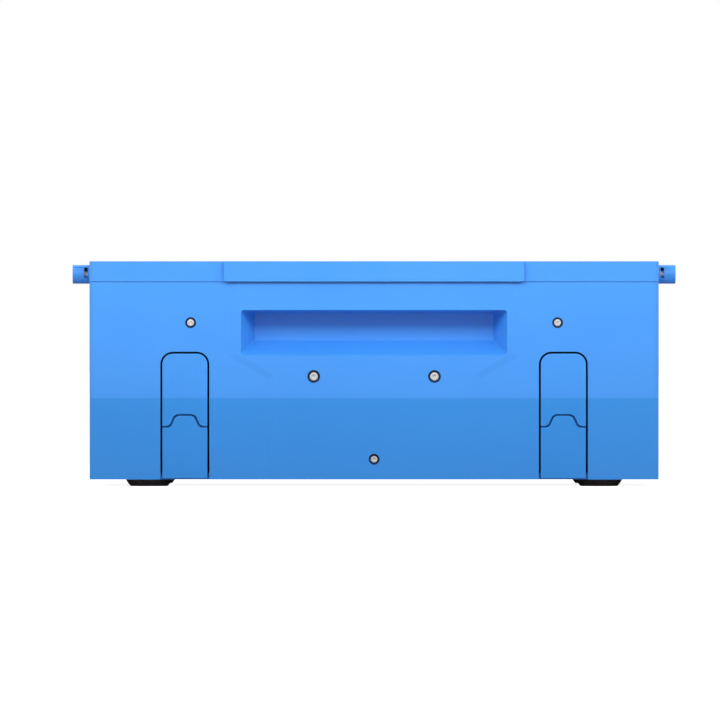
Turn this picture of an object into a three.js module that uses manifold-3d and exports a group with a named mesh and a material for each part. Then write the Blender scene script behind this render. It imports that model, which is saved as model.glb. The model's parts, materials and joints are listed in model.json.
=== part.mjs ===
// A two-channel direct injection box in a half-rack desktop case: a blue cast tub with a hinged lid,
// two battery drawers and a grip recess in its rear wall, and a connector panel in its front wall.
// Millimetres, +Z up. The origin is on the ground, under the middle of the whole box.
// -Y is the rear wall with the grip, and +Y is the front wall with the connectors.
import * as THREE from 'three';
import { mergeVertices } from 'three/addons/utils/BufferGeometryUtils.js';
import Module from 'manifold-3d';

const wasm = await Module();
wasm.setup();

// ---- Driving dimensions ----
const caseWidth = 216;
const caseDepth = 140;
const footHeight = 2.6;
const seamHeight = 77.5; // top edge of the case walls
const seamGap = 0.2;
const overallHeight = 85.4;
const wall = 2.4;
const cornerRadius = 1.6;
const lipProud = 2; // lid's lip, out of the rear face
const knobReach = 11; // pad knobs, out of the front face
const overshoot = 1; // how far a cutter runs past what it cuts
const sliver = 0.01; // the thickness of the thin ends that a funnel is drawn between

// Case planes. The case sits off the origin so that the whole box, lip to knobs, is centred on it.
const caseMiddle = (lipProud - knobReach) / 2;
const rear = caseMiddle - caseDepth / 2;
const front = caseMiddle + caseDepth / 2;
const floorTop = footHeight + wall;
const halfWidth = caseWidth / 2;

// Rear wall: vertical down to the crease, then leaning in towards the ground.
const creaseHeight = 33.5;
const footTaper = 1;
const rearSlope = footTaper / (creaseHeight - footHeight);
const relief = { proud: 0.3, ramp: 2.4, topHalf: 54.6, legHalf: 40.7, shoulder: 49.1, waist: 41.1 };
const grip = { half: 50.5, low: 49.7, high: 66.9, corner: 1.1, depth: 12, wall: 2 };
const gripFloor = { half: 45.4, low: 55.4, high: 65.8, corner: 0.65 };

// Battery bays, one behind each arched opening in the rear wall.
const bayOffset = 71.8;
const arch = { half: 9.3, top: 51.1, radius: 4.8 };
const archGap = 0.75;
const pull = { shoulder: 22.6, bumpTop: 27.1, bumpHalf: 5.3, bumpFlat: 2.6, gap: 0.6, skin: 1.9 };
Object.assign(pull, { barrel: 1.3, barrelHalf: 6.5 });
const pullAxis = { y: rear + 3.4, z: 4.7 };
const bay = { half: 9.2, shell: 1.4, top: 51.5, start: rear + 5, end: rear + 64 };
const tray = { low: 18.6, thick: 1.6, half: 7.6, end: rear + 58 };
const battery = { width: 17, height: 26.4, length: 46, radius: 2.5, stud: 2.8, studOffset: 6.4 };

// Lid, its locks and its hinge.
const lidLow = seamHeight + seamGap;
const lidWall = 2.2;
const lipHalf = 56.9;
const lock = { y: rear + 14, z: 80.6, low: 77.05, high: 84.15, inner: 108.15, outer: 114.65, length: 16 };
const lockPocket = { inner: 108.9, outer: 110.2, low: 79.2, high: 83.1 };
const spindleRadius = 1.3;
const cam = { inner: 101.9, outer: 103.4, hub: 2.2, hookLow: 8, hookHigh: 10, arm: 1.25, near: 5, far: 55 };
const keeper = { drop: 6.7, radius: 1, reach: 101.5 };
const hingeAxis = { y: front + 2.3, z: seamHeight + seamGap / 2 };
const hinge = { barrel: 2, pin: 0.9, half: 80, knuckles: 7, leafEdge: 2.35, leafHeight: 4.8, gap: 0.3 };

// Connector panel and one channel's layout on it, seen from the front with +X to the left.
const windowHalf = 98;
const windowLow = 9;
const windowHigh = 69;
const panelThick = 2;
const panelFace = front - wall - 0.2;
const channelOffset = 49;
const place = {
  inputJack: { x: 34, z: 24 },
  linkJack: { x: 11, z: 24 },
  pad: { x: 34, z: 52 },
  lift: { x: 15, z: 52 },
  polarity: { x: 0, z: 52 },
  lamp: { x: -7, z: 24 },
  output: { x: -29, z: 38 },
};
const jack = { nose: 4.7, bore: 3.25, half: 7.8, length: 28, proud: 3.6, nut: 7.2 };
const xlr = { halfWidth: 13, halfHeight: 15.5, thick: 2, barrel: 11.6, cup: 8.5, depth: 18 };
const xlrPin = { ring: 4.2, radius: 1.2, tip: -3, discFace: -12.5, tail: 0.8, tailLength: 4 };
const xlrScrew = { x: 9.5, z: 12, radius: 1.6 };
const padSwitch = { body: 8.5, length: 10, bush: 4.5, shaft: 3, knob: 8.6, knobGap: 5.2 };
const toggle = { half: 4, height: 12.6, length: 10, bush: 2.9, bore: 2.1, mouth: 5, pivot: 2, tilt: 12 };
const button = { half: 5, length: 9.5, bore: 3.7, cap: 3.4, proud: 4.5 };
const holeGap = 0.2; // radial room round whatever passes the panel

// Inside.
const board = { half: 98, low: 11, thick: 1.6, start: rear + 70, end: front - 8 };
const bossSpots = [[-60, board.start + 6], [60, board.start + 6], [-60, board.end - 8], [60, board.end - 8]];
const fitGap = 0.1; // between pieces that are screwed together
const inside = rear + wall + fitGap;
const bracket = { half: 34, thick: 1.5, low: 6.5, high: 46, shelf: 12, end: rear + 44 };
const can = { radius: 12.5, height: 30, x: 17, y: rear + 26 };

// Screws in the rear wall: where, the head's radius and how far the shank's hole is open.
const smallScrew = { head: 1.35, bore: 2.1, shank: 1 };
const largeScrew = { head: 1.65, bore: 2.45, shank: 1.25 };
const rearScrews = {
  bay_screw_left: { x: -69.6, z: 62.1, size: smallScrew },
  bay_screw_right: { x: 69.6, z: 62.1, size: smallScrew },
  bracket_screw_left: { x: -22.9, z: 41.7, size: largeScrew },
  bracket_screw_right: { x: 22.9, z: 41.7, size: largeScrew },
  bracket_screw_lower: { x: 0, z: 10.3, size: smallScrew },
};
const screwSink = 1.3; // from the face around it to the seat of its head
const headThick = 1;
const feet = { x: 85.6, inset: 16, top: 8.9, bottom: 7.1, peg: 2.2, barb: 2.9 };

// ---- Materials ----
const finish = (color, roughness, metalness) =>
  new THREE.MeshStandardMaterial({ color, roughness, metalness });
const blueEnamel = finish(0x4a98ec, 0.38, 0);
const blueMoulding = finish(0x4c99ea, 0.42, 0);
const panelBlack = finish(0x1d2024, 0.45, 0.3);
const blackPlastic = finish(0x17181a, 0.55, 0);
const rubber = finish(0x25211f, 0.85, 0);
const steel = finish(0xc9cacd, 0.28, 1);
const nickel = finish(0xb9b7b0, 0.3, 1);
const boardGreen = finish(0x1f5a3a, 0.6, 0);
const muMetal = finish(0x9b9a95, 0.4, 1);
const cellCase = finish(0x2b2d31, 0.4, 0.2);
const knobGrey = finish(0x2a2c30, 0.6, 0);

// ---- Geometry helpers ----
// A closed three.js geometry as a solid that can be cut and joined.
function solid(geometry) {
  const bare = geometry.clone();
  bare.deleteAttribute('normal');
  bare.deleteAttribute('uv');
  const merged = mergeVertices(bare, 1e-4);
  const corners = [];
  const index = merged.index.array;
  for (let i = 0; i < index.length; i += 3) {
    const [a, b, c] = [index[i], index[i + 1], index[i + 2]];
    if (a !== b && b !== c && c !== a) corners.push(a, b, c);
  }
  const make = (triangles) => new wasm.Manifold(new wasm.Mesh({
    numProp: 3,
    vertProperties: merged.attributes.position.array,
    triVerts: new Uint32Array(triangles),
  }));
  const made = make(corners);
  return made.volume() < 0 ? make(corners.reverse()) : made;
}

// A solid back as a three.js geometry.
function geometryOf(body) {
  const mesh = body.getMesh();
  const points = new Float32Array(mesh.numVert * 3);
  for (let i = 0; i < mesh.numVert; i += 1) {
    points.set(mesh.vertProperties.subarray(i * mesh.numProp, i * mesh.numProp + 3), i * 3);
  }
  const geometry = new THREE.BufferGeometry();
  geometry.setAttribute('position', new THREE.BufferAttribute(points, 3));
  geometry.setIndex(new THREE.BufferAttribute(mesh.triVerts, 1));
  geometry.computeVertexNormals();
  return geometry;
}

// The span between two distances from the middle, on one side of it.
const sideSpan = (side, near, far) => [side * near, side * far].sort((a, b) => a - b);

const join = (...bodies) => bodies.reduce((all, next) => all.add(next));
const cut = (body, ...tools) => tools.reduce((all, next) => all.subtract(next), body);

// A box from its lowest to its highest corner.
function block([x0, x1], [y0, y1], [z0, z1]) {
  const box = new THREE.BoxGeometry(x1 - x0, y1 - y0, z1 - z0);
  return solid(box.translate((x0 + x1) / 2, (y0 + y1) / 2, (z0 + z1) / 2));
}

// A round bar along one axis, through the point given by its two other coordinates.
function rod(axis, radius, [low, high], [a, b] = [0, 0], segments = 16) {
  const bar = new THREE.CylinderGeometry(radius, radius, high - low, segments);
  bar.translate(0, (low + high) / 2, 0);
  if (axis === 'x') return solid(bar.rotateZ(-Math.PI / 2).translate(0, a, b));
  if (axis === 'z') return solid(bar.rotateX(Math.PI / 2).translate(a, b, 0));
  return solid(bar.translate(a, 0, b));
}

// An outline drawn in one plane and pulled along the third axis, from low to high.
const planes = {
  z: [new THREE.Vector3(1, 0, 0), new THREE.Vector3(0, 1, 0), new THREE.Vector3(0, 0, 1)],
  y: [new THREE.Vector3(1, 0, 0), new THREE.Vector3(0, 0, 1), new THREE.Vector3(0, -1, 0)],
  x: [new THREE.Vector3(0, 1, 0), new THREE.Vector3(0, 0, 1), new THREE.Vector3(1, 0, 0)],
};
function pulled(axis, outline, [low, high], options = {}) {
  const settings = { depth: high - low, bevelEnabled: false, curveSegments: 4, ...options };
  const geometry = new THREE.ExtrudeGeometry(outline, settings);
  geometry.applyMatrix4(new THREE.Matrix4().makeBasis(...planes[axis]));
  const start = axis === 'y' ? high : low;
  const offset = { x: [start, 0, 0], y: [0, start, 0], z: [0, 0, start] }[axis];
  return solid(geometry.translate(...offset));
}

// A closed outline through straight points.
const polygon = (points) => new THREE.Shape(points.map(([x, y]) => new THREE.Vector2(x, y)));

// A rectangle with round corners, from its lowest to its highest corner.
function roundedRectangle([x0, x1], [y0, y1], radius) {
  const shape = new THREE.Shape();
  shape.absarc(x1 - radius, y0 + radius, radius, -Math.PI / 2, 0);
  shape.absarc(x1 - radius, y1 - radius, radius, 0, Math.PI / 2);
  shape.absarc(x0 + radius, y1 - radius, radius, Math.PI / 2, Math.PI);
  shape.absarc(x0 + radius, y0 + radius, radius, Math.PI, 1.5 * Math.PI);
  return shape;
}

// The case's plan outline, drawn in by an inset, pulled from one height to another.
function casePlan(inset, heights, radius = cornerRadius) {
  const across = [-halfWidth + inset, halfWidth - inset];
  return pulled('z', roundedRectangle(across, [rear + inset, front - inset], radius), heights);
}

// A turned piece: a profile of [radius, height] points about the Z axis.
function turned(profile, segments = 20) {
  const points = profile.map(([r, z]) => new THREE.Vector2(r, z));
  return solid(new THREE.LatheGeometry(points, segments).rotateX(Math.PI / 2));
}

// The same about the Y axis, with heights counted towards +Y.
function turnedForward(profile, segments = 20) {
  const points = profile.map(([r, y]) => new THREE.Vector2(r, y));
  return solid(new THREE.LatheGeometry(points, segments));
}

// A round-cornered funnel whose -Y face is one rectangle and whose +Y face is another.
function funnel(outer, inner, [y0, y1]) {
  const end = ({ half, low, high, corner }, span) =>
    pulled('y', roundedRectangle([-half, half], [low, high], corner), span);
  return wasm.Manifold.hull([end(outer, [y0, y0 + sliver]), end(inner, [y1 - sliver, y1])]);
}

// A named part of the box.
function part(name, body, material, [x, y, z] = [0, 0, 0]) {
  const mesh = new THREE.Mesh(geometryOf(body), material);
  mesh.name = name;
  mesh.position.set(x, y, z);
  return mesh;
}

// ---- Rear wall features ----
const rearFaceAt = (z) => rear + Math.max(0, creaseHeight - z) * rearSlope;

// What the lean takes off the lower rear face, across the whole width.
function leanCutter() {
  const outline = polygon([
    [rear - 5, creaseHeight],
    [rear, creaseHeight],
    [rearFaceAt(0), 0],
    [rear - 5, 0],
  ]);
  return pulled('x', outline, [-halfWidth - overshoot, halfWidth + overshoot]);
}

// The raised shield round the grip: wide at the seam, stepping in to a leg that runs to the ground edge.
// Its edges ramp up from the wall, and its leg leans with the wall below the crease.
function shieldRelief() {
  const bevel = {
    bevelEnabled: true,
    bevelThickness: relief.proud,
    bevelSize: relief.ramp,
    bevelOffset: -relief.ramp,
    bevelSegments: 1,
  };
  const rightSide = [
    [relief.legHalf, 0],
    [relief.legHalf, relief.waist],
    [relief.topHalf, relief.shoulder],
    [relief.topHalf, seamHeight + 5],
  ];
  const leftSide = rightSide.map(([x, z]) => [-x, z]).reverse();
  const near = [rear - 5, rear + 1];
  const upper = pulled('y', polygon([...rightSide, ...leftSide]), [rear, rear + 1], bevel)
    .intersect(block([-halfWidth, halfWidth], near, [creaseHeight, seamHeight]));
  const leg = pulled('y', polygon([
    [-relief.legHalf, -creaseHeight - 5],
    [relief.legHalf, -creaseHeight - 5],
    [relief.legHalf, 5],
    [-relief.legHalf, 5],
  ]), [0, 1], bevel);
  const lean = THREE.MathUtils.radToDeg(Math.atan(rearSlope));
  const lower = leg.rotate([lean, 0, 0]).translate([0, rear, creaseHeight])
    .intersect(block([-halfWidth, halfWidth], [rear - 5, rear + 2], [footHeight, creaseHeight]));
  return join(upper, lower);
}

// The funnel-shaped grip, or the housing of its walls where the margin is more than 0.
function gripFunnel(margin) {
  const grown = ({ half, low, high, corner }) =>
    ({ half: half + margin, low: low - margin, high: high + margin, corner: corner + margin });
  const start = margin > 0 ? rear + 0.5 : rear - relief.proud - 0.01;
  return funnel(grown(grip), grown(gripFloor), [start, rear + grip.depth + margin]);
}

// The arched outline of a battery opening, drawn in by an inset, open at the ground edge.
function archShape(inset, low) {
  const half = arch.half - inset;
  const radius = arch.radius - inset;
  const top = arch.top - inset;
  const shape = new THREE.Shape();
  shape.moveTo(-half, low);
  shape.lineTo(half, low);
  shape.absarc(half - radius, top - radius, radius, 0, Math.PI / 2);
  shape.absarc(-half + radius, top - radius, radius, Math.PI / 2, Math.PI);
  return shape;
}

// The pull's outline below its bump line, drawn in from that line by an inset. A negative inset grows it.
function pullShape(half, low, inset) {
  const side = pull.shoulder - inset;
  const top = pull.bumpTop - inset;
  const foot = pull.bumpHalf - inset;
  const flat = pull.bumpFlat - inset / 2;
  const shape = new THREE.Shape();
  shape.moveTo(-half, low);
  shape.lineTo(half, low);
  shape.lineTo(half, side);
  shape.lineTo(foot + 1.2, side);
  shape.bezierCurveTo(foot - 1, side, foot - 0.2, top, flat, top);
  shape.lineTo(-flat, top);
  shape.bezierCurveTo(-foot + 0.2, top, -foot + 1, side, -foot - 1.2, side);
  shape.lineTo(-half, side);
  return shape;
}

function screwHole({ x, z, size }) {
  const face = rearFaceAt(z);
  const seat = rod('y', size.bore, [rear - 5, face + screwSink], [x, z]);
  const shank = rod('y', size.shank + 0.15, [rear - 5, rear + wall + 2], [x, z]);
  return join(seat, shank);
}

function rearScrew({ x, z, size }) {
  const seat = rearFaceAt(z) + screwSink;
  const head = rod('y', size.head, [seat - headThick, seat]);
  const socketSpan = [seat - headThick - overshoot, seat - headThick * 0.45];
  const socket = rod('y', size.head * 0.5, socketSpan, [0, 0], 6);
  const shank = rod('y', size.shank, [seat - 0.1, seat + 6]);
  return { body: join(cut(head, socket), shank), at: [x, 0, z] };
}

// ---- Case ----
function caseBody() {
  const tub = cut(casePlan(0, [footHeight, seamHeight]), casePlan(wall, [floorTop, seamHeight + 5], 0.8));
  const ledge = cut(casePlan(wall / 2, [74.5, seamHeight], 1), casePlan(3.9, [70, seamHeight + 5], 0.5));
  const collar = cut(casePlan(2.7, [seamHeight - 1, 80.3], 0.8), casePlan(3.9, [70, 90], 0.5));
  const hingeSide = block([-halfWidth, halfWidth], [front - 6, front], [seamHeight, 90]);
  const spindleNotch = block([-halfWidth, halfWidth], [lock.y - 2.5, lock.y + 2.5], [seamHeight, 90]);
  const bosses = bossSpots.map(([x, y]) => rod('z', 3, [floorTop - 0.5, board.low - 0.05], [x, y]));
  const keepers = [-1, 1].map((side) =>
    rod('x', keeper.radius, sideSpan(side, keeper.reach, halfWidth - 1), [lock.y, lock.z - keeper.drop]));
  const rim = cut(collar, hingeSide, spindleNotch);
  const whole = join(cut(tub, leanCutter()), ledge, rim, shieldRelief(), gripFunnel(grip.wall));
  const panelWindow = roundedRectangle([-windowHalf, windowHalf], [windowLow, windowHigh], 2);
  return cut(
    join(whole, ...bosses, ...keepers),
    gripFunnel(0),
    pulled('y', panelWindow, [front - wall - overshoot, front + overshoot]),
    ...bayCutters(),
    ...Object.values(rearScrews).map(screwHole),
    ...footSpots().map(([x, y]) => rod('z', 2.5, [0, floorTop + overshoot], [x, y])),
  );
}

// The arched openings, and the bite out of the floor that a pull swings into.
function bayCutters() {
  return [-bayOffset, bayOffset].flatMap((x) => {
    const opening = pulled('y', archShape(0, 0), [rear - 5, rear + wall + overshoot]).translate([x, 0, 0]);
    const bite = block([x - arch.half, x + arch.half], [rear, rear + 4.8], [0, floorTop + 0.2]);
    return [opening, bite];
  });
}

const footSpots = () => [-1, 1].flatMap((side) =>
  [rear + feet.inset, front - feet.inset].map((y) => [side * feet.x, y]));

// A push-in foot: a tapered pad, and a peg whose barb snaps through the floor.
function foot() {
  return turned([
    [0, 0], [feet.bottom, 0], [feet.top, footHeight], [feet.peg, footHeight], [feet.peg, floorTop + 0.2],
    [feet.barb, floorTop + 0.2], [feet.peg - 0.6, floorTop + 1.6], [0, floorTop + 1.6],
  ]);
}

function lid() {
  const shell = casePlan(0, [lidLow, overallHeight]);
  const lipEnd = roundedRectangle([-lipHalf, lipHalf], [lidLow, overallHeight], 0.6);
  const lip = pulled('y', lipEnd, [rear - lipProud, rear + 1.5], { curveSegments: 2 });
  const hollow = casePlan(lidWall, [lidLow - overshoot, overallHeight - lidWall], 0.8);
  const through = rod('x', spindleRadius + 0.2, [-halfWidth - 1, halfWidth + 1], [lock.y, lock.z]);
  return cut(join(shell, lip), hollow, through);
}

// ---- Lid locks: a lever outside, and a steel spindle with a hook inside ----
function lockLever(side) {
  const half = (lock.high - lock.low) / 2;
  const outline = new THREE.Shape();
  outline.absarc(0, 0, half, Math.PI / 2, 1.5 * Math.PI);
  outline.lineTo(lock.length - 1.6, -half);
  outline.lineTo(lock.length, -half + 1.6);
  outline.lineTo(lock.length, half - 1.6);
  outline.lineTo(lock.length - 1.6, half);
  const pocket = sideSpan(side, lockPocket.inner, lockPocket.outer);
  return cut(
    pulled('x', outline, sideSpan(side, lock.inner, lock.outer), { curveSegments: 10 }),
    block(pocket, [-half - 1, half], [lockPocket.low - lock.z, lockPocket.high - lock.z]),
    rod('x', spindleRadius + 0.15, sideSpan(side, lock.inner - 1, lock.outer - 2)),
  );
}

function lockSpindle(side) {
  const shaft = rod('x', spindleRadius, sideSpan(side, cam.inner, lock.outer - 2.3));
  const plate = sideSpan(side, cam.inner, cam.outer);
  const hub = rod('x', cam.hub, plate);
  const turn = (degrees) => -THREE.MathUtils.degToRad(degrees);
  const sector = new THREE.Shape();
  sector.absarc(0, 0, cam.hookHigh, turn(cam.far), turn(cam.near), false);
  sector.absarc(0, 0, cam.hookLow, turn(cam.near), turn(cam.far), true);
  const hook = pulled('x', sector, plate, { curveSegments: 8 });
  const bar = new THREE.BoxGeometry(cam.outer - cam.inner, cam.hookHigh - 0.3, 2 * cam.arm);
  bar.translate(side * (cam.inner + cam.outer) / 2, (cam.hookHigh - 0.3) / 2, 0).rotateX(turn(cam.near + 7));
  return join(shaft, hub, hook, solid(bar));
}

function lockGroup(side, label) {
  const group = new THREE.Group();
  group.position.set(0, lock.y, lock.z);
  group.add(part(`lid_lock_lever_${label}`, lockLever(side), blueMoulding));
  group.add(part(`lid_lock_spindle_${label}`, lockSpindle(side), steel));
  return group;
}

// ---- Lid hinge: two leaves whose knuckles alternate along one pin ----
function knuckleSpans(first) {
  const pitch = (2 * hinge.half) / hinge.knuckles;
  const spans = [];
  for (let i = first; i < hinge.knuckles; i += 2) {
    spans.push([-hinge.half + i * pitch + hinge.gap, -hinge.half + (i + 1) * pitch - hinge.gap]);
  }
  return spans;
}

// One leaf, drawn round the pin: its plate is on one side of the seam, away being 1 above it and -1 below.
function hingeLeaf(first, away) {
  const face = front - hingeAxis.y + fitGap;
  const depth = [face, face + 1];
  const plateZ = sideSpan(away, hinge.leafEdge, hinge.leafEdge + hinge.leafHeight);
  const plate = block([-hinge.half, hinge.half], depth, plateZ);
  const knuckles = knuckleSpans(first).map((span) => join(
    rod('x', hinge.barrel, span),
    block(span, depth, sideSpan(away, 0, hinge.leafEdge)),
  ));
  const bore = rod('x', hinge.pin + 0.15, [-hinge.half - 1, hinge.half + 1]);
  return cut(join(plate, ...knuckles), bore);
}

function hingeGroup() {
  const group = new THREE.Group();
  group.position.set(0, hingeAxis.y, hingeAxis.z);
  group.add(part('hinge_leaf_case', hingeLeaf(0, -1), steel));
  group.add(part('hinge_leaf_lid', hingeLeaf(1, 1), steel));
  group.add(part('hinge_pin', rod('x', hinge.pin, [-hinge.half, hinge.half], [0, 0], 12), steel));
  return group;
}

// ---- Battery bays ----
// A battery bay's housing, open at the ground side, with the tab that its screw holds to the rear wall.
function bayHousing() {
  const outer = bay.half + bay.shell;
  const roof = bay.top + bay.shell;
  const shell = cut(
    block([-outer, outer], [bay.start, bay.end + 1.6], [floorTop + fitGap, roof]),
    block([-bay.half, bay.half], [bay.start - 1, bay.end], [floorTop - 1, bay.top]),
    block([-5.5, 5.5], [bay.start + 12, bay.start + 46], [bay.top - 1, bay.top + 5]),
  );
  const tabBack = rear + wall + 2.6;
  const tab = block([-7, outer], [inside, tabBack], [bay.top + 0.5, 67]);
  const screw = rearScrews.bay_screw_left;
  const thread = rod('y', screw.size.shank + 0.15, [rear, tabBack + 1], [screw.x + bayOffset, screw.z]);
  const web = block([-outer, outer], [inside, bay.start + 1], [bay.top + 0.4, roof]);
  return cut(join(shell, tab, web), thread);
}

// The bore for a pull's pin, through the drawer's lugs or the pull's barrel.
const pinHole = () => rod('x', 0.75, [-10, 10], [pullAxis.y, pullAxis.z]);

// A battery drawer: the upper cover of the arch, the tray behind it, and the lugs that hold the pull's pin.
function drawer() {
  const half = arch.half - archGap;
  const cover = cut(
    pulled('y', archShape(archGap, 3.4), [rear, rear + 3.8]),
    leanCutter(),
    pulled('y', pullShape(half + 1, 0, -pull.gap / 2), [rear - 1, rear + 2.6]),
    block([-10, 10], [rear - 1, rear + 5], [0, 8.8]),
  );
  const lugs = [-1, 1].map((side) => {
    const span = sideSpan(side, pull.barrelHalf + 0.4, half);
    return join(
      rod('x', pull.barrel, span, [pullAxis.y, pullAxis.z]),
      block(span, [rear + 2.8, rear + 4.4], [pullAxis.z, 9.6]),
    );
  });
  const run = [rear + 3.5, tray.end];
  const floor = block([-tray.half, tray.half], run, [tray.low, tray.low + tray.thick]);
  const back = block([-tray.half, tray.half], [tray.end - tray.thick, tray.end], [tray.low, tray.low + 16]);
  const keel = block([-0.8, 0.8], run, [tray.low - 5, tray.low + 0.5]);
  return cut(join(cover, floor, back, keel, ...lugs), pinHole());
}

// The pull below the bump line: a skin flush with the wall, and the barrel that turns on the pin.
function drawerPull() {
  const across = [-pull.barrelHalf, pull.barrelHalf];
  const skin = pulled('y', pullShape(arch.half - archGap, 3, pull.gap / 2), [rear, rear + pull.skin]);
  const spine = block([-5, 5], [rear + 1.5, rear + 2.3], [9.4, 21]);
  const web = block(across, [rear + 1.2, pullAxis.y], [pullAxis.z - 1, pullAxis.z + pull.barrel]);
  const barrel = rod('x', pull.barrel, across, [pullAxis.y, pullAxis.z]);
  return cut(join(skin, spine, web, barrel), pinHole(), leanCutter());
}

// A 9 V battery on its side, with its two studs towards the inside of the box.
function nineVolt() {
  const half = battery.width / 2;
  const low = tray.low + tray.thick + 0.2;
  const middle = low + battery.height / 2;
  const start = rear + 4.2;
  const end = start + battery.length;
  const outline = roundedRectangle([-half, half], [low, low + battery.height], battery.radius);
  const jacket = pulled('y', outline, [start, end]);
  const studs = [-1, 1].map((side) =>
    rod('y', battery.stud, [end - 0.5, end + 2.4], [0, middle + side * battery.studOffset]));
  return join(jacket, ...studs);
}

function bayGroup(side, label) {
  const group = new THREE.Group();
  group.position.x = side * bayOffset;
  const housing = side < 0 ? bayHousing() : bayHousing().mirror([1, 0, 0]);
  group.add(part(`battery_bay_${label}`, housing, blackPlastic));
  group.add(part(`battery_drawer_${label}`, drawer(), blueMoulding));
  group.add(part(`drawer_pull_${label}`, drawerPull(), blueMoulding));
  const pin = rod('x', 0.6, [-8.3, 8.3], [0, 0], 12);
  group.add(part(`pull_pin_${label}`, pin, steel, [0, pullAxis.y, pullAxis.z]));
  group.add(part(`battery_${label}`, nineVolt(), cellCase));
  return group;
}

// ---- Connector panel ----
function frontPanel() {
  const plate = block([-105, 105], [panelFace - panelThick, panelFace], [floorTop + 0.6, 73.5]);
  const holes = [-channelOffset, channelOffset].flatMap((x) => {
    const hole = (spot, radius) =>
      rod('y', radius, [panelFace - 5, panelFace + 5], [x + spot.x, spot.z]);
    return [
      hole(place.inputJack, jack.nose + holeGap),
      hole(place.linkJack, jack.nose + holeGap),
      hole(place.pad, padSwitch.bush + holeGap),
      hole(place.lift, toggle.bush + holeGap),
      hole(place.polarity, button.cap + 2 * holeGap),
      hole(place.lamp, 1.6),
      hole(place.output, xlr.barrel + 2 * holeGap),
    ];
  });
  return cut(plate, ...holes);
}

// Channel parts are drawn round their own axis, with y = 0 on the panel's outer face.
const behind = -panelThick - 0.1;

function phoneJack() {
  const half = jack.half;
  const body = roundedRectangle([-half, half], [-half + 0.4, half - 0.4], 1.2);
  return cut(
    join(
      pulled('y', body, [behind - jack.length, behind], { curveSegments: 2 }),
      rod('y', jack.nose, [behind - 1, jack.proud]),
    ),
    rod('y', jack.bore, [behind - jack.length + 2, jack.proud + 1]),
  );
}

function jackNut() {
  return cut(rod('y', jack.nut, [0.05, 2.5], [0, 0], 6), rod('y', jack.nose + 0.25, [-1, 5]));
}

function xlrShell() {
  const outline = roundedRectangle([-xlr.halfWidth, xlr.halfWidth], [-xlr.halfHeight, xlr.halfHeight], 3);
  const flange = pulled('y', outline, [0.05, xlr.thick]);
  const barrel = rod('y', xlr.barrel, [-xlr.depth, 1], [0, 0], 24);
  return cut(
    join(flange, barrel),
    rod('y', xlr.cup, [-xlr.depth - 1, xlr.thick + 1], [0, 0], 24),
    ...[-1, 1].map((side) => rod('y', xlrScrew.radius, [-5, 5], [side * xlrScrew.x, side * xlrScrew.z])),
  );
}

// The insulating disc with its three contact pins and their solder tails.
function xlrContacts() {
  const disc = rod('y', xlr.cup - 0.2, [-xlr.depth, xlrPin.discFace], [0, 0], 24);
  const pins = [210, 330, 90].map((angle) => {
    const turn = THREE.MathUtils.degToRad(angle);
    const spot = [xlrPin.ring * Math.cos(turn), xlrPin.ring * Math.sin(turn)];
    const pin = rod('y', xlrPin.radius, [xlrPin.discFace - 0.5, xlrPin.tip], spot, 12);
    return join(pin, rod('y', xlrPin.tail, [-xlr.depth - xlrPin.tailLength, 1 - xlr.depth], spot, 8));
  });
  return join(disc, ...pins);
}

function padSwitchBody() {
  return cut(
    join(
      rod('y', padSwitch.body, [behind - padSwitch.length, behind]),
      rod('y', padSwitch.bush, [behind - 1, 4.4]),
    ),
    rod('y', padSwitch.shaft + 0.15, [behind - padSwitch.length + 2, 6]),
  );
}

const knobTop = front + knobReach - panelFace;

function padKnob() {
  const { knob, knobGap, shaft } = padSwitch;
  const skirt = knobGap + 2.4;
  const body = turnedForward([
    [0, knobGap], [knob, knobGap], [knob, skirt], [knob - 2.2, skirt + 0.8],
    [knob - 2.7, knobTop - 0.8], [knob - 3.5, knobTop], [0, knobTop],
  ]);
  const pointer = block([-0.7, 0.7], [skirt, knobTop - 0.4], [0, knob - 0.3]);
  return cut(join(body, pointer), rod('y', shaft + 0.1, [knobGap - 1, knobTop - 2.2]));
}

function toggleBody() {
  const heights = [-toggle.height / 2, toggle.height / 2];
  const outline = roundedRectangle([-toggle.half, toggle.half], heights, 0.6);
  return cut(
    join(
      pulled('y', outline, [behind - toggle.length, behind], { curveSegments: 1 }),
      rod('y', toggle.bush, [behind - 1, toggle.mouth]),
    ),
    rod('y', toggle.bore, [behind - 3, toggle.mouth + 1]),
  );
}

// The bat lever, drawn from its pivot ball and tipped up.
function toggleLever() {
  const bat = new THREE.LatheGeometry([
    [0, -1.7], [1.2, -1.2], [1.7, 0], [1.2, 1.2], [1.05, 2], [1.15, 3.4], [1.9, 9.9], [1.5, 11.1], [0, 11.5],
  ].map(([r, y]) => new THREE.Vector2(r, y)), 16);
  return solid(bat.rotateX(THREE.MathUtils.degToRad(toggle.tilt)));
}

function buttonBody() {
  const half = button.half;
  return cut(
    block([-half, half], [behind - button.length, behind], [-half, half]),
    rod('y', button.bore, [behind - button.length + 1.2, behind + 1]),
  );
}

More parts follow.
